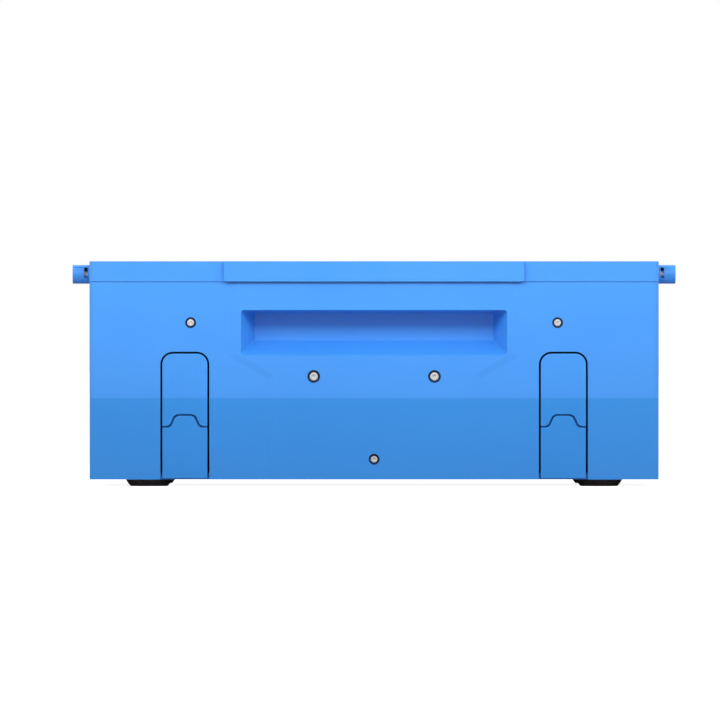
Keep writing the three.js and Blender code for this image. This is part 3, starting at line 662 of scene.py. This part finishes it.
# A round bar along a path: each point is path + radius * (side cos a + lift sin a), square to the path.
def barPart(path, radius, columns=10, colour=(0.5, 0.5, 0.5)):
    path = np.asarray(path, float)
    along = np.gradient(path, axis=0)
    along /= np.linalg.norm(along, axis=1)[:, None]
    side = np.cross(along, (0.13, 0.21, 1.0))
    side /= np.linalg.norm(side, axis=1)[:, None]
    lift = np.cross(side, along)
    angle = np.arange(columns) / columns * turn
    ring = side[:, None] * np.cos(angle)[None, :, None] + lift[:, None] * np.sin(angle)[None, :, None]
    loops = path[:, None] + radius * ring
    ends = np.repeat(path[[0, -1]][:, None], columns, 1)
    points = np.concatenate([ends[:1], loops, ends[1:]])
    return {"points": points, "quads": loopQuads(*points.shape[:2]), "colour": colour}


def gatheredPiece(name, parts, finish, body, **more):
    points, quads, colours = gathered(parts)
    return makePiece(name, points, quads, finish, body, colours=colours, **more)


# Screws.
# A six-sided recess: the radius is cos(30) / cos(a), with a measured from each flat's middle.
def hexagon(angle):
    third = turn / 6
    return math.cos(third / 2) / np.cos((angle + third / 2) % third - third / 2)


# A socket-head screw seen end on: shank, rim, crown and recess in one profile.
def screwPiece(name, radius, centre, axis, finish, body, **more):
    socket = radius * 0.46
    profile = [
        (0, -2), (radius * 0.7, -2), (radius * 0.7, 0), (radius, 0), (radius, 0.62),
        (radius * 0.86, 0.82), (socket + 0.12, 0.9), (socket, 0.8), (socket, 0.35), (0, 0.3),
    ]

    def hexRecess(radii, heights, angle):
        inRecess = (np.arange(len(radii))[:, None] > len(radii) * 0.76) & (radii > 0.01)
        return np.where(inRecess, radii * hexagon(angle), radii)

    return turnedPiece(name, profile, centre, axis, finish, body, 0.07, 48, hexRecess, **more)


rearScrew = {"headThick": 1.0, "cupWall": 0.7, "cupGap": 0.04}
for name in ("bay_screw_left", "bay_screw_right", "bracket_screw_left", "bracket_screw_right",
             "bracket_screw_lower"):
    radius = (high(name)[0] - low(name)[0]) / 2
    seat = (middle(name)[0], low(name)[1] + rearScrew["headThick"], middle(name)[2])
    screwPiece(name + "_head", radius, seat, rearward, "screw", "case", replaces=[name])
    # Each cup is a dark piece of painted shade in the counterbore round the head.
    hole, inner = radius + rearScrew["cupWall"], radius + rearScrew["cupGap"]
    cup = [(inner, -0.1), (inner, 0.3), (hole - 0.3, 0.45), (hole - 0.2, 1.12), (hole, 1.12), (hole, -0.1)]
    turnedPiece(name + "_cup", [*cup, cup[0]], seat, rearward, "screw_cup", "case", 0.05, 48)
print("rear screws made")


# Feet.
foot = {"dish": 0.35, "peg": 2.2, "barb": 2.9, "ease": 0.35}
for name in [n for n in nodes if n.startswith("foot_")]:
    x, y, _ = middle(name)
    tall = low("case_body")[2]
    wide = (high(name)[0] - low(name)[0]) / 2
    profile = [
        (0, foot["dish"]), (wide - 4.3, foot["dish"]), (wide - 4.0, 0), (wide - 1.8, 0),
        (wide - 0.3, tall - 0.7), (wide, tall - 0.06), (foot["peg"], tall - 0.06),
        (foot["peg"], tall + 2.6), (foot["barb"], tall + 2.7), (1.6, tall + 4), (0, tall + 4),
    ]
    turnedPiece(name + "_pad", profile, (x, y, 0), upward, "foot_rubber", "case", foot["ease"], 64,
                replaces=[name])
print("feet made")


# Connector panel.
# A hexagon nut: its six sides are cut back by a cone at both faces, and its bore is a circle.
nut = {"across": 7.2, "bore": 4.95, "thick": 2.4, "cone": 0.55}


def nutPiece(name, centre, size, finish, body, **more):
    columns = 72
    angle = np.arange(columns) / columns * turn
    flats = size["across"] * hexagon(angle)
    thick, cone = size["thick"], size["cone"]
    heights = np.array([0, 0, cone, thick - cone, thick, thick, thick - 0.3, 0.3, 0])
    limits = [0, size["across"] - cone, 99, 99, size["across"] - cone, 0, 0, 0, 0]
    radii = np.array([np.minimum(flats, limit) for limit in limits])
    radii[[0, 5, 8]] = size["bore"] + 0.3
    radii[[6, 7]] = size["bore"]
    points = loopsAbout(radii, heights, centre, outward)
    return makePiece(name, points, loopQuads(*radii.shape), finish, body, smooth=False, **more)


# A threaded collar: the outer radius rises and falls once for each thread.
threadDepth = 0.16


def threadPiece(name, centre, outer, inner, start, end, pitch, finish, body, **more):
    steps = int((end - start) / pitch * 6)
    heights = np.linspace(start, end, steps)
    outside = outer - threadDepth * (0.5 - 0.5 * np.cos(heights / pitch * turn))
    profile = [(inner, start), *zip(outside, heights), (inner, end), (inner, start)]
    radii = np.repeat(np.array(profile)[:, :1], 40, 1)
    points = loopsAbout(radii, np.array(profile)[:, 1], centre, outward)
    return makePiece(name, points, loopQuads(*radii.shape), finish, body, **more)


jackNose = {"outer": 4.72, "inner": 3.3, "start": 0.2, "end": 3.7, "pitch": 0.7}
for number in channels:
    for kind in ("input_jack", "link_jack"):
        x, _, z = middle(f"{kind}_nut_{number}")
        centre = (x, panelY, z)
        nutPiece(f"{kind}_hex_{number}", (x, panelY + 0.45, z), nut, "nickel", "case",
                 replaces=[f"{kind}_nut_{number}"])
        washer = [(4.95, 0.04), (7.5, 0.04), (7.6, 0.4), (4.95, 0.4), (4.95, 0.04)]
        turnedPiece(f"{kind}_washer_{number}", washer, centre, outward, "nickel", "case", 0.12, 64)
        threadPiece(f"{kind}_thread_{number}", centre, **jackNose, finish="nickel", body="case")

# Output socket: cup wall, lip, flange face, edge, back and barrel as one closed stack of loops.
socket = {
    "halfX": 13, "halfZ": 15.5, "corner": 3.2, "thick": 2, "cup": 8.5, "barrel": 11.6, "depth": 18,
    "pinCircle": 4.2, "pinAngles": (210, 330, 90), "screw": 2.5, "screwX": 9.5, "screwZ": 12,
}


def socketRows(size):
    cup, barrel, depth, thick = size["cup"], size["barrel"], size["depth"], size["thick"]
    lip = ((0, -0.9), (0.25, -0.3), (0.7, 0.1), (1.5, 0.15), (1.9, 0))
    rows = [(cup, cup, cup, -depth)]
    rows += [(cup + grow, cup + grow, cup + grow, thick + rise) for grow, rise in lip]
    for draw, drop in ((0.6, 0), (0.2, 0.1), (0.05, 0.3), (0, 0.6)):
        rows.append((size["halfX"] - draw, size["halfZ"] - draw, size["corner"] - draw, thick - drop))
    rows.append((size["halfX"], size["halfZ"], size["corner"], 0.06))
    rows += [(barrel, barrel, barrel, 0.06), (barrel, barrel, barrel, -depth), (cup, cup, cup, -depth)]
    return rows


for number in channels:
    x, y, z = middle(f"output_socket_{number}")
    centre = np.array((x, panelY, z))
    stackedPiece(f"output_shell_{number}", socketRows(socket), centre, outward, "nickel", "case", 96,
                 replaces=[f"output_socket_{number}"])
    disc = [(0, -18), (8.2, -18), (8.2, -12.9), (7.7, -12.5), (5.9, -12.5), (5.7, -12.8), (0, -12.8)]
    turnedPiece(f"output_insulator_{number}", disc, centre, outward, "black_plastic", "case", 0.2,
                replaces=[f"output_contacts_{number}"])
    pins = []
    pin = [(0, -22), (0.8, -22), (0.8, -18), (1.2, -17.8), (1.2, -3.9), (0.75, -3.1), (0, -3)]
    collar = [(1.2, -12.9), (1.75, -12.8), (1.75, -12.3), (1.2, -12.2), (1.2, -12.9)]
    for degrees in socket["pinAngles"]:
        angle = math.radians(degrees)
        spot = centre + socket["pinCircle"] * np.array((math.cos(angle), 0, math.sin(angle)))
        pins.append(turnedPart(pin, spot, outward, 0.3, 28))
        pins.append(turnedPart(collar, spot, outward, 0.08, 28))
    gatheredPiece(f"output_pins_{number}", pins, "gold_contact", "case")
    for place, side in (("low", -1), ("high", 1)):
        spot = centre + (side * socket["screwX"], socket["thick"], side * socket["screwZ"])
        screwPiece(f"output_screw_{place}_{number}", socket["screw"], spot, outward, "steel", "case")
print("connectors made")


# Pad knob: skirt, fluted grip and dished cap; the flutes scallop the grip's radius twelve times.
knob = {"flutes": 12, "depth": 0.55, "skirt": 8.55}
for number in channels:
    x, _, z = middle(f"pad_shaft_{number}")
    start, end = low(f"pad_knob_{number}")[1] - panelY, high(f"pad_knob_{number}")[1] - panelY
    skirt = start + 2.2
    profile = [
        (0, start + 0.4), (7.6, start + 0.4), (7.8, start), (knob["skirt"], start),
        (knob["skirt"], start + 1.5), (7.2, skirt), (6.3, skirt + 0.7), (6.0, end - 1.1),
        (5.5, end - 0.3), (4.9, end), (4.0, end - 0.25), (0, end - 0.3),
    ]

    def fluted(radii, heights, angle):
        grip = np.clip((heights - skirt - 0.3) / 0.9, 0, 1) * (radii > 4.6)
        return radii - grip * knob["depth"] * (0.5 + 0.5 * np.cos(angle * knob["flutes"])) ** 2

    turnedPiece(f"pad_grip_{number}", profile, (x, panelY, z), outward, "knob_grey", f"pad_{number}",
                0.25, 144, fluted, replaces=[f"pad_knob_{number}"])
    mark = [
        blockPart(0.42, 0.12, 0.1, 1.6, 4.6, (x, panelY + end - 0.22, z), upward),
        blockPart(0.42, 0.12, 0.1, 6.9, 8.2, (x, panelY + start + 1.72, z), upward),
    ]
    gatheredPiece(f"pad_mark_{number}", mark, "white_print", f"pad_{number}")
print("knobs made")

# Ground lift lever: a bat that swells towards its tip, tipped up about its pivot.
lever = {
    "tilt": 12, "pivot": 2, "nut": {"across": 4.9, "bore": 3.05, "thick": 1.5, "cone": 0.35},
    "bush": {"outer": 2.95, "inner": 2.15, "start": 0.1, "end": 5.05, "pitch": 0.5},
}
padNut = {"across": 7.4, "bore": 4.7, "thick": 1.7, "cone": 0.45}
for number in channels:
    x, _, z = middle(f"lift_switch_{number}")
    centre = (x, panelY, z)
    tip = math.radians(lever["tilt"])
    axis = (0, math.cos(tip), math.sin(tip))
    profile = [
        (0, -1.7), (1.2, -1.3), (1.68, 0), (1.2, 1.2), (1.0, 2), (1.1, 3.4), (1.88, 9.6), (1.72, 10.9),
        (1.1, 11.4), (0, 11.5),
    ]
    turnedPiece(f"lift_bat_{number}", profile, (x, panelY + lever["pivot"], z), axis, "nickel",
                f"lift_{number}", 0.7, 40, replaces=[f"lift_lever_{number}"])
    nutPiece(f"lift_hex_{number}", (x, panelY + 0.5, z), lever["nut"], "nickel", "case")
    washer = [(3.05, 0.04), (5.3, 0.04), (5.4, 0.45), (3.05, 0.45), (3.05, 0.04)]
    turnedPiece(f"lift_washer_{number}", washer, centre, outward, "nickel", "case", 0.1, 56)
    threadPiece(f"lift_thread_{number}", centre, **lever["bush"], finish="nickel", body="case")
    x, _, z = middle(f"pad_shaft_{number}")
    nutPiece(f"pad_hex_{number}", (x, panelY + 0.1, z), padNut, "nickel", "case")

# Polarity button: a crowned cap with a shallow dish, in a turned bezel.
for number in channels:
    x, _, z = middle(f"polarity_button_{number}")
    centre = (x, panelY, z)
    end = high(f"polarity_button_{number}")[1] - panelY
    profile = [
        (0, -5), (3.35, -5), (3.35, end - 0.5), (2.95, end - 0.05), (2.4, end), (1.2, end - 0.22),
        (0, end - 0.28),
    ]
    turnedPiece(f"polarity_cap_{number}", profile, centre, outward, "blue_moulding",
                f"polarity_{number}", 0.3, 56, replaces=[f"polarity_button_{number}"])
    bezel = [(3.75, -0.6), (3.75, 0.9), (4.1, 1.3), (4.8, 1.3), (5.6, 0.05), (3.75, -0.6)]
    turnedPiece(f"polarity_bezel_{number}", bezel, centre, outward, "black_plastic", "case", 0.2, 64)

# Signal lamp: a domed lens in a small bezel over the panel's light hole.
lamp = {"fromSocket": 22, "z": 24}
for number in channels:
    spot = (middle(f"output_socket_{number}")[0] + lamp["fromSocket"], panelY, lamp["z"])
    lens = [(0, -3), (1.45, -3), (1.45, 0.5), (1.15, 1.2), (0.6, 1.55), (0, 1.65)]
    turnedPiece(f"lamp_lens_{number}", lens, spot, outward, "lamp_lens", "case", 0.3, 36)
    bezel = [(1.55, 0.04), (1.55, 0.7), (1.8, 0.85), (2.3, 0.6), (2.6, 0.04), (1.55, 0.04)]
    turnedPiece(f"lamp_bezel_{number}", bezel, spot, outward, "nickel", "case", 0.12, 40)
print("controls made")

# Screws that hold the panel and the hinge: low pan heads with a hexagon socket.
panelScrews = {"x": 94.9, "low": 12, "high": 66, "radius": 2.2}
for side, sign in sides.items():
    for place in ("low", "high"):
        spot = (sign * panelScrews["x"], panelY, panelScrews[place])
        screwPiece(f"panel_screw_{place}_{side}", panelScrews["radius"], spot, outward, "steel", "case")
hingeScrews = {"x": (-68, -23, 23, 68), "radius": 1.55, "fromEdge": 2.4, "leafThick": 1.0}
for leaf, body in (("hinge_leaf_case", "case"), ("hinge_leaf_lid", "lid")):
    edge, way = (low(leaf)[2], 1) if body == "case" else (high(leaf)[2], -1)
    for count, x in enumerate(hingeScrews["x"]):
        spot = (x, low(leaf)[1] + hingeScrews["leafThick"], edge + way * hingeScrews["fromEdge"])
        screwPiece(f"{leaf}_screw_{count}", hingeScrews["radius"], spot, outward, "steel", body)
print("panel and hinge screws made")


# White print on the panel: strokes are thin raised bars, and figures are mesh made from text.
ink = {"thick": 0.06, "sunk": 0.02, "stroke": 0.22, "figure": 3.6}


# A stroke is a flat bar: its corners are start and end, moved across by its half width to each side.
def strokePart(start, end):
    start, end = np.array(start, float), np.array(end, float)
    along = (end - start) / np.linalg.norm(end - start)
    across = np.array((-along[1], along[0])) * ink["stroke"]
    corners = np.array([start + across, start - across, end - across, end + across])
    rows = []
    for depth in (panelY - ink["sunk"], panelY + ink["thick"]):
        rows.append(np.stack([corners[:, 0], np.full(4, depth), corners[:, 1]], -1))
    caps = [np.repeat(row.mean(0)[None], 4, 0) for row in rows]
    points = np.array([caps[0], rows[0], rows[1], caps[1]])
    return {"points": points, "quads": loopQuads(4, 4)}


# Figures are drawn flat, then X turns to -X and Y to Z, because the panel is read from its own side.
def figurePiece(name, words, x, z, size):
    curve = bpy.data.curves.new(name, "FONT")
    curve.body = words
    curve.size = size * mm
    curve.extrude = ink["thick"] * mm / 2
    curve.align_x = "CENTER"
    curve.align_y = "CENTER"
    flat = bpy.data.objects.new(name + "_flat", curve)
    bpy.context.scene.collection.objects.link(flat)
    bpy.context.view_layer.update()
    mesh = bpy.data.meshes.new_from_object(flat.evaluated_get(bpy.context.evaluated_depsgraph_get()))
    mesh.name = name
    bpy.data.objects.remove(flat)
    bpy.data.curves.remove(curve)
    points = np.zeros(len(mesh.vertices) * 3, np.float32)
    mesh.vertices.foreach_get("co", points)
    points = points.reshape(-1, 3)
    depth = panelY * mm + points[:, 2] + ink["thick"] * mm / 2
    placed = np.stack([x * mm - points[:, 0], depth, z * mm + points[:, 1]], -1)
    mesh.vertices.foreach_set("co", placed.astype(np.float32).reshape(-1))
    weldAndFace(mesh, 1e-8)
    mesh.materials.clear()
    mesh.materials.append(materials["white_print"])
    item = bpy.data.objects.new(name, mesh)
    bpy.context.scene.collection.objects.link(item)
    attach(item, "case")


dial = {"inner": 9.6, "outer": 11.4, "figures": 13.6, "steps": ((-30, "0"), (0, "20"), (30, "40"))}
groundMark = ((2.2, 8.2), (1.3, 9.2), (0.5, 10.2))  # each bar's half length and its rise above the lever
jackFrame = {"side": 8.5, "rise": 10.5, "corner": 0.1}
channelFigure = {"z": 61.0, "size": 5.0}
for number in channels:
    centre = middle(f"pad_shaft_{number}")[[0, 2]]
    strokes = []
    for degrees, words in dial["steps"]:
        angle = math.radians(degrees)
        way = np.array((-math.sin(angle), math.cos(angle)))
        strokes.append(strokePart(centre + way * dial["inner"], centre + way * dial["outer"]))
        spot = centre + way * dial["figures"]
        figurePiece(f"dial_figure_{words}_{number}", words, spot[0], spot[1], ink["figure"])
    x, _, z = middle(f"lift_switch_{number}")
    for half, rise in groundMark:
        strokes.append(strokePart((x - half, z + rise), (x + half, z + rise)))
    first, _, z = middle(f"input_jack_nut_{number}")
    first, last = first + jackFrame["side"], middle(f"link_jack_nut_{number}")[0] - jackFrame["side"]
    for rise in (-jackFrame["rise"], jackFrame["rise"]):
        strokes.append(strokePart((first, z + rise), (last, z + rise)))
    reach = jackFrame["rise"] + jackFrame["corner"]
    for edge in (first, last):
        strokes.append(strokePart((edge, z - reach), (edge, z + reach)))
    gatheredPiece(f"panel_print_{number}", strokes, "white_print", "case", smooth=False)
    x = middle(f"output_socket_{number}")[0]
    figurePiece(f"channel_figure_{number}", str(number), x, channelFigure["z"], channelFigure["size"])
print("panel print made")


# Transformer cans: drawn round at the top, with a crimped bead at the foot.
for number in channels:
    lowest, highest = low(f"transformer_{number}"), high(f"transformer_{number}")
    x, y, _ = middle(f"transformer_{number}")
    wide, base, tall = (highest[0] - lowest[0]) / 2, lowest[2], highest[2]
    profile = [
        (0, base), (wide, base), (wide, base + 1.2), (wide - 0.45, base + 1.7), (wide - 0.45, tall - 2.2),
        (wide - 1.6, tall - 0.1), (wide - 3.4, tall), (wide - 3.8, tall - 0.5), (0, tall - 0.5),
    ]
    turnedPiece(f"transformer_can_{number}", profile, (x, y, 0), upward, "transformer_can", "case",
                0.8, 72, replaces=[f"transformer_{number}"])
print("transformers made")


# Parts on the board: capacitors, chips, resistors and blocks, placed from each channel's own middle.
paint = {
    "can": (0.03, 0.035, 0.05), "canTop": (0.55, 0.55, 0.56), "film": (0.30, 0.05, 0.03),
    "chip": (0.015, 0.015, 0.016), "resistor": (0.42, 0.30, 0.17), "bandA": (0.35, 0.08, 0.02),
    "bandB": (0.02, 0.02, 0.02), "lead": (0.6, 0.6, 0.58), "block": (0.03, 0.14, 0.07),
}
layout = {
    "cans": ((-30, 6, 4, 11.5), (-20, 6, 4, 11.5), (-30, 17, 3.2, 9), (24, 4, 5, 12.5)),
    "films": ((-8, 4), (-8, 12), (8, 4)), "chips": ((4, 20), (22, 20)), "pinPitch": 2.54, "pinRow": 3.6,
    "resistors": 5, "resistorY": 26, "resistorLift": 1.6, "firstResistor": -20, "resistorPitch": 5,
    "bands": ((-0.9, "bandA"), (0, "bandB"), (0.9, "bandA")), "block": (8, 28),
}


# A capacitor: a can with a groove near its foot, and a bare top set just below its rim.
def capacitorParts(spot, radius, tall):
    can = [
        (0, 0.1), (radius, 0.1), (radius, 1.1), (radius - 0.25, 1.5), (radius, 1.9), (radius, tall - 0.4),
        (radius - 0.5, tall),
    ]
    top = [(radius - 0.5, tall - 0.05), (radius - 0.8, tall - 0.12), (0, tall - 0.12)]
    return [turnedPart(can, spot, upward, 0.25, 28, paint["can"]),
            turnedPart(top, spot, upward, 0.1, 28, paint["canTop"])]


def chipParts(x, y):
    parts = [blockPart(4.9, 3.2, 0.3, 0.8, 4.0, (x, y, boardTop), upward, paint["chip"], 0.25)]
    for pin in range(4):
        for side in (-1, 1):
            spot = (x + layout["pinPitch"] * (pin - 1.5), y + side * layout["pinRow"], boardTop)
            parts.append(blockPart(0.35, 0.15, 0.08, -0.2, 2.4, spot, upward, paint["lead"], 0.05))
    return parts


# A resistor lies along Y: a waisted body, three bands, and a lead that turns down at each end.
def resistorParts(spot):
    body = [
        (0, -3.2), (1.15, -3.2), (1.2, -2.2), (0.95, -1.8), (0.95, 1.8), (1.2, 2.2), (1.15, 3.2), (0, 3.2),
    ]
    parts = [turnedPart(body, spot, outward, 0.35, 16, paint["resistor"])]
    for shift, band in layout["bands"]:
        ring = [(0.9, shift - 0.2), (1.0, shift - 0.2), (1.0, shift + 0.2), (0.9, shift + 0.2)]
        parts.append(turnedPart(ring, spot, outward, 0.03, 16, paint[band]))
    lead = [(0, -5, -2.2), (0, -5, -0.4), (0, -4.6, 0), (0, 4.6, 0), (0, 5, -0.4), (0, 5, -2.2)]
    parts.append(barPart(spot + np.array(lead), 0.3, 8, paint["lead"]))
    return parts


for number in channels:
    centre = (middle(f"input_jack_nut_{number}")[0] + middle(f"output_socket_{number}")[0]) / 2
    parts = []
    for dx, y, radius, tall in layout["cans"]:
        parts += capacitorParts((centre + dx, y, boardTop), radius, tall)
    for dx, y in layout["films"]:
        spot = (centre + dx, y, boardTop)
        parts.append(blockPart(5.2, 2.2, 0.6, 0.3, 8.2, spot, upward, paint["film"], 0.5))
    for dx, y in layout["chips"]:
        parts += chipParts(centre + dx, y)
    for row in range(layout["resistors"]):
        x = centre + layout["firstResistor"] + row * layout["resistorPitch"]
        parts += resistorParts(np.array((x, layout["resistorY"], boardTop + layout["resistorLift"])))
    spot = (centre + layout["block"][0], layout["block"][1], boardTop)
    parts.append(blockPart(9, 3.2, 0.3, 0, 6.5, spot, upward, paint["block"], 0.3))
    gatheredPiece(f"board_parts_{number}", parts, "component", "case")
print("board parts made")


# Loose wires inside: red and black from each battery bay, and leads from the sockets and transformers.
wire = {"radius": 0.65, "columns": 10, "bayX": 71.8, "apart": 3, "sunk": 0.4}
pair = (("wire_red", -wire["apart"]), ("wire_black", wire["apart"]))
onBoard = boardTop - wire["sunk"]


def wirePiece(name, points, finish):
    part = barPart(smoothPath(points), wire["radius"], wire["columns"])
    makePiece(name, part["points"], part["quads"], finish, "case")


for side, sign in sides.items():
    y = high(f"battery_bay_{side}")[1]
    for finish, shift in pair:
        x = sign * wire["bayX"] + shift
        wirePiece(f"bay_{finish}_{side}", [
            (x, y - wire["sunk"], 33), (x, y + 2.6, 33), (x - sign * 1, y + 5.2, 27),
            (x - sign * 3, y + 7.0, 18), (x - sign * 4, y + 7.5, onBoard),
        ], finish)
for number in channels:
    x, _, z = middle(f"output_socket_{number}")
    back = panelY - 21.6
    for finish, degrees, reach in (("wire_red", 210, -4), ("wire_black", 330, 4), ("wire_black", 90, 0)):
        pinX = x + socket["pinCircle"] * math.cos(math.radians(degrees))
        pinZ = z + socket["pinCircle"] * math.sin(math.radians(degrees))
        wirePiece(f"output_{finish}_{degrees}_{number}", [
            (pinX, back, pinZ), (pinX, back - 4, pinZ), (pinX + reach * 0.4, back - 8, pinZ - 6),
            (x + reach, back - 9, 20), (x + reach, back - 9, onBoard),
        ], finish)
    x, y, _ = middle(f"transformer_{number}")
    top = high(f"transformer_{number}")[2]
    for finish, shift in pair:
        wirePiece(f"transformer_{finish}_{number}", [
            (x + shift, y, top - 0.8), (x + shift, y, top + 2.4), (x + shift, y + 7, top + 4.5),
            (x + shift * 1.2, y + 22, top - 4), (x + shift * 1.4, -3, 28), (x + shift * 1.4, 0, onBoard),
        ], finish)
print("wires made")

# Brings the view layer up to date.
bpy.context.view_layer.update()

# The floor lies just under the feet, and glows to the camera so that it meets the white behind it.
ground = {"half": 40, "under": 0.00005, "glow": 0.92}
floor = bpy.data.objects.new("floor", bpy.data.meshes.new("floor"))
across, under = ground["half"], -ground["under"]
corners = [(-across, -across, under), (across, -across, under), (across, across, under), (-across, across, under)]
floor.data.from_pydata(corners, [], [(0, 1, 2, 3)])
floorPaint = startMaterial("paleFloor", (0.40, 0.40, 0.40), 0.7, Specular_IOR_Level=0.1)
tint(floorPaint, noiseOf(floorPaint, 3), (0.39, 0.39, 0.39), (0.41, 0.41, 0.41))
backlit = addNode(floorPaint, "ShaderNodeLightPath")
glow = addNode(floorPaint, "ShaderNodeMath", operation="MULTIPLY")
glow.inputs[1].default_value = ground["glow"]
principled(floorPaint).inputs["Emission Color"].default_value = (1, 1, 1, 1)
connect(floorPaint, backlit, "Is Camera Ray", glow, "Value")
connect(floorPaint, glow, "Value", principled(floorPaint), "Emission Strength")
floor.data.materials.append(floorPaint)
bpy.context.scene.collection.objects.link(floor)
print("scene ready")
